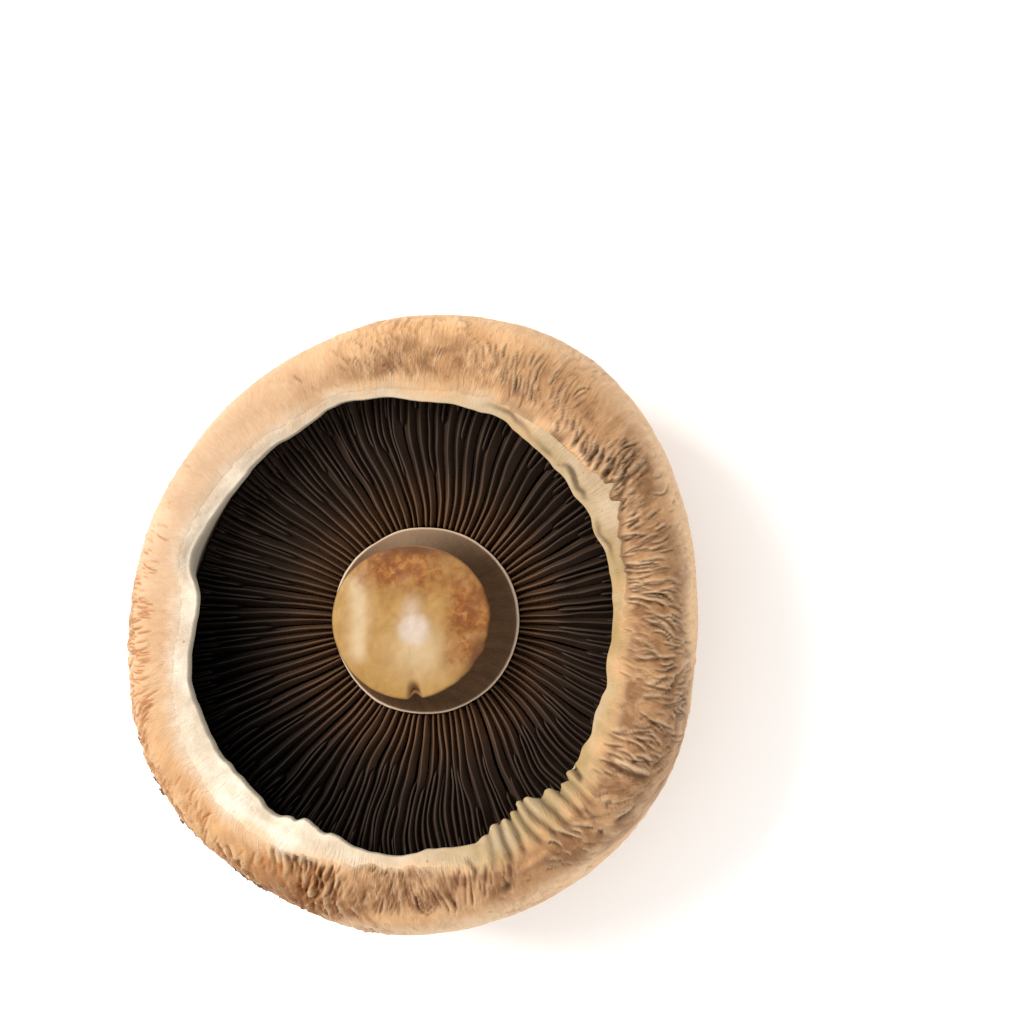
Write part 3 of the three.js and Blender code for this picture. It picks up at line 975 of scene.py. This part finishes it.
SKIN_COLUMNS, SKIN_RINGS, UNDER_RINGS = 1400, 58, 10
SKIN_END = 31.5  # where the skin of the margin runs into the dome's, in millimetres from the lip
SKIN_DEPTH = 0.5  # how far the flesh lies under that skin
VEIL_DEPTH = 0.55  # of the groove between the veil and the flesh


def thickening(along):
    """How many times thicker the skin is than where it runs into the dome's."""
    return 1 + 0.8 * (1 - smooth(18, 24, along))


def surface(angle, along):
    """The outermost surface's height over the bare outline, in millimetres, and all its markings."""
    relief, marks = skin(angle, along)
    fold_relief, fold_dark = lip_fold(angle, along)
    veil = veil_line(angle, along)
    shaggy = between(24, 46, along, 4) * (0.35 + 0.65 * smooth(-0.3, 0.5, field(27, 7, 30, angle, along)))
    bent_angle = angle + 0.05 * field(28, 30, 5, angle, along)
    shag = 0.9 * shaggy * (0.5 - np.abs(field(26, 118, 8, bent_angle, along)))
    marks["dark"] = np.maximum(marks["dark"], fold_dark) + 0.6 * veil + 0.5 * smooth(0.1, -0.3, shag)
    marks["dome"] = smooth(20, 33, along)
    # The wall under the lip, which the material darkens as painted shade.
    marks["wall"] = smooth(0.0, 0.5, -along)
    marks["bed"] = smooth(5.5, 9, -along)
    marks["rough"] = (0.25 + 0.75 * marks["strokes"] + 0.4 * shaggy).clip(0, 1) * smooth(0, 2, along)
    settled = 1 - smooth(58, 74, along)  # the crown stays flat where it rests
    return settled * (relief + fold_relief - VEIL_DEPTH * veil + shag), marks


def flesh_surface(angle, along):
    """The same for the pale flesh: smooth, and sunk where the margin's skin lies on it."""
    relief, marks = surface(angle, along)
    past = along - skin_start(angle)
    fold_relief, fold_dark = lip_fold(angle, along)
    veil = veil_line(angle, along)
    smoothness = (1 - smooth(0, 2, past)) * (1 - smooth(8, 14, along))
    plain = 0.45 * layered(24, 14, 16, angle, along, 2) * smooth(2, 9, along)
    plain = plain + 0.07 * layered(25, 190, 2.5, angle, along, 2) * smooth(-0.3, 1, along)
    torn = torn_share(fray_at(angle))
    sunk = smooth(0.2, 1.8, past)
    sunk = sunk * (1 - smooth(SKIN_END - 4, SKIN_END, along)) * thickening(along)
    flesh = relief + (plain + fold_relief - VEIL_DEPTH * veil - relief) * smoothness
    relief = np.where(past > 0, np.minimum(flesh, relief), flesh)
    marks["cream"] = marks["cream"] + (1 - smooth(3, 5, past) - marks["cream"]) * torn
    marks["dark"] = marks["dark"] * (1 - smoothness) + (fold_dark + 2.2 * veil) * smoothness
    return relief - SKIN_DEPTH * sunk, marks


cap_relief, cap_marks = flesh_surface(ANGLE, FROM_LIP)
bare_normals = normals_of(bare)
cap_surface = bare + bare_normals * cap_relief[:, :, None]
cap_surface[:, :, 2] = np.maximum(cap_surface[:, :, 2], 0)
cap_surface[:, 0] = cap_surface[:, 0].mean(0)
cap_surface[:, -1] = cap_surface[:, -1].mean(0)
cap_normals = normals_of(cap_surface)


def on_cap(grid, angle, along):
    """Values of a grid over the cap's surface at any angles and distances from the lip."""
    column = np.mod(angle / TURN, 1) * CAP_COLUMNS
    ring = np.interp(-along, -from_lip, np.arange(CAP_RINGS + 1))
    i, j = np.floor(column).astype(int) % CAP_COLUMNS, np.minimum(np.floor(ring).astype(int), CAP_RINGS - 1)
    across, t = np.mod(column, 1), ring - j
    if grid.ndim == 3:
        across, t = across[..., None], t[..., None]
    beside = (i + 1) % CAP_COLUMNS
    at = [np.clip(j + k, 0, CAP_RINGS) for k in (-1, 0, 1, 2)]
    a, b, c, d = (grid[i, k] * (1 - across) + grid[beside, k] * across for k in at)
    return b + 0.5 * t * (c - a + t * (2 * a - 5 * b + 4 * c - d + t * (3 * (b - c) + d - a)))


def grain_of(angle, along):
    """A place on the cap in metres: its first two parts go round the cap, its third along the strands."""
    root = strand(angle, along)
    return np.stack([CAP_RADIUS * np.cos(root), CAP_RADIUS * np.sin(root), along + 0 * angle], axis=-1) * MM


def make_cap(material):
    """The cap's flesh and its dome, as one closed body."""
    grain = grain_of(ANGLE, FROM_LIP)
    shape_piece("cap_flesh", material, "cap", BALL, CAP_RINGS, cap_surface, cap_marks, grain)


def make_margin_skin(material):
    """The skin of the margin: a thin, wrinkled layer on the flesh, from its torn inner edge to the dome."""
    angle = np.arange(SKIN_COLUMNS) * TURN / SKIN_COLUMNS
    fray = fray_at(angle)
    start = skin_start(angle) - (0.3 + 1.6 * (1 - fray)) * (1 - torn_share(fray))
    share = (1 - np.arange(SKIN_RINGS) / (SKIN_RINGS - 1)) ** 1.15
    along = start[:, None] + (SKIN_END - start[:, None]) * share
    under_share = (np.arange(UNDER_RINGS) + 0.5) / UNDER_RINGS
    under = start[:, None] + 0.35 * fray[:, None] + (SKIN_END - 0.5 - start[:, None]) * under_share
    angle, fray, start = np.broadcast_arrays(angle[:, None], fray[:, None], start[:, None])
    angle_out, angle_under = (np.broadcast_to(angle, grid.shape) for grid in (along, under))
    relief, marks = surface(angle_out, along)
    edge = 1 - smooth(0.0, 0.6 + 1.1 * (1 - fray), along - start)
    raised = (0.025 + 0.3 * fray ** 2) * (1 - smooth(1.5, 7, along - start))
    end = smooth(SKIN_END - 4.5, SKIN_END, along)
    outer = relief + raised - (0.08 + 0.4 * (1 - fray) + raised) * edge - (SKIN_DEPTH - 0.1) * end
    inner = np.minimum(0, surface(angle_under, under)[0]) - 1.2 + 0.8 * smooth(0.2, 0.0, under_share)
    height = np.concatenate([outer, inner], axis=1)
    along_all = np.concatenate([along, under], axis=1)
    angle_all = np.concatenate([angle_out, angle_under], axis=1)
    outwards = on_cap(bare_normals, angle_all, along_all)
    grid = on_cap(bare, angle_all, along_all) + outwards * height[:, :, None]

    inner_face = np.zeros(under.shape)
    for name, values in marks.items():
        marks[name] = np.concatenate([np.broadcast_to(values, along.shape), inner_face], axis=1)
    grain = grain_of(angle_all, along_all)
    rings = SKIN_RINGS + UNDER_RINGS
    shape_piece("margin_skin", material, "cap", RING, rings, grid, marks, grain)


# ---------------------------------------------------------------- the loose scales of the skin

SCALE_COLUMNS, SCALE_RINGS = 10, 8
SCALE_SEED = 71
BURNT_FROM, BURNT_TO = 202, 244  # degrees, where the tips at the margin are dark


def make_scales(shaggy=800, burnt=170):
    """Scales of the skin: many under the cap's widest part, and some burnt ones on the margin at one side."""
    chance = np.random.default_rng(SCALE_SEED)
    count = shaggy + burnt
    at_side = np.arange(count) >= shaggy
    angle = chance.uniform(0, TURN, count)
    along = 36 + 20 * chance.beta(1.3, 1.9, count)
    angle = np.where(at_side, np.radians(chance.uniform(BURNT_FROM, BURNT_TO, count)), angle)
    along = np.where(at_side, chance.uniform(17, 25, count), along)
    length = np.where(at_side, chance.uniform(0.9, 2.6, count), chance.uniform(3.0, 8.5, count))
    width = np.where(at_side, chance.uniform(0.25, 0.75, count), chance.uniform(0.45, 1.15, count))
    lift = np.where(at_side, chance.uniform(0.2, 0.7, count), chance.uniform(0.0, 0.9, count))
    curl = chance.uniform(-0.35, 0.35, count)
    bend = chance.uniform(-2.2, 2.2, count) * length / np.where(at_side, 3, 8)
    tone = chance.uniform(0, 1, count)
    mesh, column, ring = many_balls(
        "skin_scales", scale_material(), None, count, SCALE_COLUMNS, SCALE_RINGS
    )
    share = ring[None, :] / SCALE_RINGS  # 0 at the root, 1 at the tip
    swing = column[None, :] * TURN / SCALE_COLUMNS
    length, width, lift, curl, bend, tone = (v[:, None] for v in (length, width, lift, curl, bend, tone))
    taper = np.sin(math.pi * share ** 0.7) ** 0.8
    ripple = 1 + 0.35 * np.sin(share * 9 + 12 * tone)
    across = np.cos(swing) * width * taper * ripple + bend * share ** 2
    outwards = np.where(at_side, 1, -1)[:, None]
    at_along = along[:, None] + outwards * length * share
    at_angle = angle[:, None] + across / CAP_RADIUS
    high = lift * share ** 1.7 + curl * np.cos(swing) * taper + 0.25 * width * np.cos(swing) ** 2 * share
    high = high - 0.12 * (1 - share) + np.sin(swing) * 0.13 * taper
    high = high + np.where(at_side[:, None], SKIN_DEPTH * thickening(at_along) - 0.1, 0)
    up = on_cap(cap_normals, at_angle, at_along) * high[..., None]
    place = on_cap(cap_surface, at_angle, at_along) + up
    place_points(mesh, place.reshape(-1, 3))
    shape = (count, share.shape[1])
    paint(mesh, "tone", np.broadcast_to(tone, shape))
    paint(mesh, "tip", np.broadcast_to(smooth(0.0, 0.55, share), shape))
    paint(mesh, "burnt", np.where(at_side[:, None], smooth(0.2, 0.7, share), 0.0))
    paint_vector(mesh, "grain", grain_of(at_angle, at_along).reshape(-1, 3))


# ---------------------------------------------------------------- the gills

# A gill's cross-section from its free edge down to its root: how far to the side, as shares of the
# half-widths of its edge and of its foot, how deep under the edge, in millimetres, and how much of the edge's
# colour it has, down to none at the foot, whose colour is painted lighter as painted light against the shade
# between the gills. The other side mirrors it.
GILL_EDGE_SHARE = [0.0, 1.0, 1.0, 0.5, 0.0, 0.0]
GILL_FOOT_SHARE = [0.0, 0.0, 0.05, 0.26, 1.0, 0.0]
GILL_DEPTH = [0.0, 0.03, 0.3, 1.0, 2.0, 4.0]
GILL_LIGHT = [1.0, 1.0, 0.65, 0.5, 0.15, 0.0]
GILL_EDGE = 0.13  # half-width of its free edge
GILL_COLUMNS = 2 * (len(GILL_DEPTH) - 1)
GILL_INNER_HEIGHT = gills_high.z - 3.8
GILL_OUTER_HEIGHT = GILL_INNER_HEIGHT + 1.9
GILL_BELLY = 2.4  # how far its edge bulges upwards
LONG_GILLS = 100
WAVINESS = [0.07, 0.07, 0.1, 0.2, 0.15, 0.1, 0.08, 0.12, 0.3, 0.55, 0.4, 0.12]  # of the gills, round the cap
# Painted shadow of the rim on the gills near the lip, heaviest at the side towards -X.
PAINTED_RIM_SHADOW = [0.15, 0.1, 0.1, 0.15, 0.3, 0.6, 0.95, 1.0, 0.85, 0.25, 0.1, 0.1]  # how black they are further out


def make_gills(name, material, count, rings, offset, starts, taper, foot, seed, node=None):
    """A ring of gills from a range of starts, shares of the way out from the stem, to behind the lip.

    A gill grows to its full height over a taper, a share of its length. Its foot fills a share of its place.
    """
    chance = np.random.default_rng(seed)
    mesh, column, ring = many_balls(name, material, node, count, GILL_COLUMNS, rings)
    angle = (np.arange(count) + offset + chance.uniform(-0.13, 0.13, count)) * TURN / count
    start = chance.uniform(*starts, count)
    drop = chance.uniform(-0.5, 0.25, count)
    lean = chance.uniform(-0.4, 0.4, count)
    tone = chance.uniform(0, 1, count)
    angle, start, drop, lean, tone = (values[:, None] for values in (angle, start, drop, lean, tone))

    reach = ring[None, :] / rings
    share = start + (1 - start) * reach
    inner, outer = STEM_RADIUS + 0.25, cap_radius(angle) - GILL_MARGIN
    radius = inner + (outer - inner) * share
    root = FLESH_THICKNESS + (GILL_END_HEIGHT + margin_lift(angle) - FLESH_THICKNESS) * share ** 3
    edge = GILL_INNER_HEIGHT + (GILL_OUTER_HEIGHT + margin_lift(angle) - GILL_INNER_HEIGHT) * share
    edge = edge + GILL_BELLY * np.sin(math.pi * share ** 0.8) + drop * smooth(0, 0.15, share)
    edge = edge + 0.3 * field(seed + 1, 260, 7, angle, radius)
    grown = smooth(0, taper, reach) if taper else np.ones_like(reach)
    edge = root + 0.2 + (edge - root - 0.2) * grown

    step = np.minimum(column, GILL_COLUMNS - column)
    side = np.where(column < GILL_COLUMNS / 2, 1, -1)[None, :]
    edge_half = GILL_EDGE * (1 + 0.4 * field(seed + 2, 300, 5, angle, radius)) * (0.4 + 0.6 * grown)
    foot_half = foot * math.pi * radius / count * (0.3 + 0.7 * grown)
    half = edge_half * np.take(GILL_EDGE_SHARE, step) + foot_half * np.take(GILL_FOOT_SHARE, step)
    half = half * np.where((ring == 0) | (ring == rings), 0.0, 1.0)[None, :]
    depth = np.take(GILL_DEPTH, step)[None, :] * np.minimum(1, (edge - root) / GILL_DEPTH[-1])
    depth = np.where(step == len(GILL_DEPTH) - 1, edge - root - 0.05, depth)
    high = 1 - depth / GILL_DEPTH[-1]

    wave = around(WAVINESS, angle) * smooth(0.04, 0.3, share) * (
        1.5 * field(61, 30, 9.0, angle, radius) + 0.5 * field(62, 75, 5.0, angle, radius)
    )
    kink = 0.18 * field(seed + 3, 331, 4.5, angle, radius) * smooth(0.05, 0.3, share)
    tilt = (lean + 0.9 * field(63, 22, 12.0, angle, radius)) * np.clip(high, 0, 1) ** 2 * 0.5
    aside = side * half + wave + kink * np.clip(high, 0, 1) + tilt
    x, y = drifted(radius, angle)
    x, y = x - aside * np.sin(angle), y + aside * np.cos(angle)
    z = edge - depth
    place_points(mesh, np.stack(np.broadcast_arrays(x, y, z), axis=2).reshape(-1, 3))
    shape = (count, len(column))
    # Painted shadow that the rim casts on the gills near it.
    rim_shadow = around(PAINTED_RIM_SHADOW, angle) * smooth(0.1, 0.7, share)
    tip = np.take(GILL_LIGHT, step)[None, :]
    for mark, values in (("tone", tone), ("tip", tip), ("out", share), ("rim_shadow", rim_shadow)):
        paint(mesh, mark, np.broadcast_to(values, shape))


# ---------------------------------------------------------------- the stem

STEM_COLUMNS = 240
ROOT_RINGS, WALL_RINGS, COLLAR_RINGS, TAPER_RINGS, RIM_RINGS, CUT_RINGS = 3, 8, 12, 40, 10, 60
STEM_RINGS = ROOT_RINGS + WALL_RINGS + COLLAR_RINGS + TAPER_RINGS + RIM_RINGS + CUT_RINGS


def stem_section(angle):
    """The stem's bare outline at each angle: root, wall, collar, taper, rim and cut end."""
    cut = CUT_RADIUS * (1 + 0.02 * np.sin(2 * angle + 1) + 0.015 * np.sin(3 * angle))
    ragged = facing(angle, 350, 75)
    cut = cut + ragged * 0.5 * layered(81, 34, 10, angle, 0 * angle, 3)
    cut = cut - 1.1 * facing(angle, NOTCH_DIRECTION, 6)
    flat = np.ones_like(angle)
    share = [np.arange(1, n + 1) / n for n in
             (ROOT_RINGS, WALL_RINGS, COLLAR_RINGS, TAPER_RINGS, RIM_RINGS, CUT_RINGS)]
    low, wall = (0 * flat, FLESH_THICKNESS * flat), (STEM_RADIUS * flat, FLESH_THICKNESS * flat)
    neck = (STEM_RADIUS * flat, COLLAR_HEIGHT * flat)
    collar_end = ((COLLAR_RADIUS - 0.35) * flat, (COLLAR_HEIGHT + 0.95) * flat)
    under_rim = (cut - 0.35, (CUT_HEIGHT - 1.1) * flat)
    rim_end = (cut - 1.0, CUT_HEIGHT * flat)
    curves = [
        [low[0][:, None], low[1][:, None]],
        straight(low, wall, share[0]),
        straight(wall, neck, share[1]),
        bezier(neck, ((COLLAR_RADIUS + 0.25) * flat, neck[1] - 0.1),
               ((COLLAR_RADIUS + 0.3) * flat, neck[1] + 0.8), collar_end, share[2]),
        bezier(collar_end, (15.3 * flat, (COLLAR_HEIGHT + 2.6) * flat), (cut - 0.2, (CUT_HEIGHT - 4) * flat),
               under_rim, share[3]),
        bezier(under_rim, (cut + 0.35, (CUT_HEIGHT - 0.7) * flat), (cut, CUT_HEIGHT * flat),
               rim_end, share[4]),
        bezier(rim_end, (0.7 * cut, (CUT_HEIGHT + 0.3) * flat), (0.3 * cut, (CUT_HEIGHT + 0.75) * flat),
               (0 * flat, (CUT_HEIGHT + 0.75) * flat), share[5]),
    ]
    return [np.concatenate([curve[k] for curve in curves], axis=1) for k in (0, 1)]


def make_stem():
    """The stem, with the lumps, the notch and the stains of its cut end."""
    angle = np.arange(STEM_COLUMNS) * TURN / STEM_COLUMNS
    radius, height = stem_section(angle)
    angle = np.broadcast_to(angle[:, None], radius.shape)
    ring = np.broadcast_to(np.arange(STEM_RINGS + 1), radius.shape)
    face_start = STEM_RINGS - CUT_RINGS
    collar_start = ROOT_RINGS + WALL_RINGS
    above = np.maximum(0, height - COLLAR_HEIGHT - 1)
    x = radius * np.cos(angle) + STEM_CENTRE.x + STEM_LEAN.x * above
    y = radius * np.sin(angle) + STEM_CENTRE.y + STEM_LEAN.y * above
    grid = np.stack([x, y, height], axis=2)
    cut = smooth(face_start - 6, face_start - 2, ring)
    side = between(collar_start + 2, face_start - 7, ring, 2)
    a, b = radius * np.cos(angle), radius * np.sin(angle)
    relief = side * (0.03 * field(83, 120, 14, angle, height) + 0.25 * layered(84, 12, 9, angle, height, 2))
    relief += cut * (0.22 * lumps(82, 2.6, a, b) + 0.3 * lumps(86, 7, a, b))
    notch = facing(angle, NOTCH_DIRECTION, 7) * smooth(CUT_RADIUS - 4, CUT_RADIUS - 1.5, radius) * cut
    relief -= 1.4 * notch
    grid += normals_of(grid) * relief[:, :, None]
    grid[:, 0], grid[:, -1] = grid[:, 0].mean(0), grid[:, -1].mean(0)

    # Markings of the cut end, placed round its middle: a along +X and b along +Y.
    wander = 1.6 * lumps(85, 3.5, a, b)
    core_edge = 1 + 0.16 * lumps(87, 1.6, a, b)
    core = np.exp(-((((a - 0.9) / 2.9) ** 2 + ((b + 1.4) / 3.1) ** 2) * core_edge) ** 2.6)
    core = np.maximum(core, 0.55 * np.exp(-(((a - 0.6) / 1.7) ** 2 + ((b - 2.2) / 2.2) ** 2)))
    pale = np.exp(-((a + 9.6 + 0.4 * wander) / 1.9) ** 2) * smooth(8.5, 5.5, -b) * smooth(10, 6, b)
    pale = np.maximum(pale, 0.9 * np.exp(-(((a - 2) / 5) ** 2 + ((b + 5.5) / 4.5) ** 2)))
    stain = smooth(2.5, 10, b + wander) * between(-9, 14, a, 3)
    stain = np.maximum(stain, smooth(4.5, 10.5, a + wander) * smooth(-13, -4, b))
    # Painted shade along the cut end's rim towards +Y and +X, where its side is in shadow.
    rim_shade = np.maximum(facing(angle, 88, 42), 0.9 * facing(angle, 332, 30)) + 0.25 * facing(angle, 30, 40)
    rim = smooth(CUT_RADIUS - 2.4, CUT_RADIUS - 1.0, radius + 0.4 * wander)
    dark = np.maximum(notch, cut * rim * rim_shade)
    collar = between(collar_start + 1, collar_start + COLLAR_RINGS - 1, ring, 1.5)
    # The side facing +Y is marked for painted light.
    marks = {
        "cut": cut, "core": core, "pale": pale, "stain": stain, "dark": dark,
        "lit_side": facing(angle, 95, 60), "collar": collar,
    }
    grain = np.stack([STEM_RADIUS * np.cos(angle), STEM_RADIUS * np.sin(angle), height], axis=2) * MM
    shape_piece("stem_stub", stem_material(), "stem", BALL, STEM_RINGS, grid, marks, grain)


# ---------------------------------------------------------------- floor, light and camera

def make_floor():
    """A wide, pale floor under the mushroom."""
    bm = bmesh.new()
    bmesh.ops.create_grid(bm, x_segments=1, y_segments=1, size=4)
    mesh = bpy.data.meshes.new("floor")
    bm.to_mesh(mesh)
    bm.free()
    floor = bpy.data.objects.new("floor", mesh)
    bpy.context.collection.objects.link(floor)
    material, _, shader, _ = new_material("studio_floor")
    shader.inputs["Base Color"].default_value = (0.92, 0.92, 0.92, 1)
    shader.inputs["Roughness"].default_value = 0.9
    mesh.materials.append(material)


def add_light(name, place, size, power, colour=(1, 1, 1)):
    """A square soft light that shines at the mushroom."""
    light = bpy.data.lights.new(name, "AREA")
    light.size = size
    light.energy = power
    light.color = colour
    lamp = bpy.data.objects.new(name, light)
    lamp.location = place
    aim = Vector((0, 0, CAP_HEIGHT * MM)) - Vector(place)
    lamp.rotation_euler = aim.to_track_quat("-Z", "Y").to_euler()
    lamp.visible_camera = False
    bpy.context.collection.objects.link(lamp)


def light_scene():
    """A soft key light from the left, a weaker one from the right, and a bright room."""
    world = bpy.data.worlds.new("studio")
    world.use_nodes = True
    room = world.node_tree.nodes["Background"].inputs
    room["Color"].default_value = (1.0, 0.985, 0.965, 1)
    room["Strength"].default_value = 0.9
    bpy.context.scene.world = world
    add_light("key_light", (-0.88, 0.39, 0.95), 0.75, 29, (1.0, 0.96, 0.90))
    add_light("fill_light", (0.9, -0.35, 0.8), 1.2, 7, (1.0, 0.98, 0.95))
    bpy.context.scene.view_settings.view_transform = "Standard"
    bpy.context.scene.view_settings.look = "None"


CAMERA_TILT = math.radians(9)  # from straight above, towards +X
CAMERA_DISTANCE = 0.7
CAMERA_LENS = 131.5
AIM_RIGHT, AIM_UP = 0.0179, 0.0213  # from the middle of the mushroom to the middle of the view
AIM_HEIGHT = WIDEST_HEIGHT * MM * 0.77


def make_camera():
    """A long lens nearly straight above the mushroom, with +Y up in the view."""
    camera = bpy.data.objects.new("camera", bpy.data.cameras.new("camera"))
    bpy.context.collection.objects.link(camera)
    camera.data.lens = CAMERA_LENS
    camera.data.clip_start = 0.05
    backwards = Vector((math.sin(CAMERA_TILT), 0, math.cos(CAMERA_TILT)))
    right = Vector((math.cos(CAMERA_TILT), 0, -math.sin(CAMERA_TILT)))
    middle = Vector((0, 0, AIM_HEIGHT))
    camera.location = middle + backwards * CAMERA_DISTANCE
    aim = middle + right * AIM_RIGHT + Vector((0, AIM_UP, 0))
    look = (aim - camera.location).normalized()
    side = look.cross(Vector((0, 1, 0))).normalized()
    above = side.cross(look)
    turned = Matrix((side, above, -look)).transposed().to_4x4()
    turned.translation = camera.location
    camera.matrix_world = turned
    bpy.context.scene.camera = camera


make_camera()
light_scene()
make_floor()
mushroom_skin = cap_material()
make_cap(mushroom_skin)
make_margin_skin(mushroom_skin)
make_scales()
gill_flesh = gill_material()
make_gills("long_gills", gill_flesh, LONG_GILLS, rings=34, offset=0, starts=(0, 0), taper=0, foot=0.98,
           seed=101, node="gills")
make_gills("short_gills", gill_flesh, LONG_GILLS, rings=28, offset=0.5, starts=(0.1, 0.8), taper=0.3,
           foot=0.5, seed=111)
make_gills("marginal_gills", gill_flesh, 2 * LONG_GILLS, rings=14, offset=0.25, starts=(0.6, 0.88),
           taper=0.5, foot=0.5, seed=121)
make_stem()
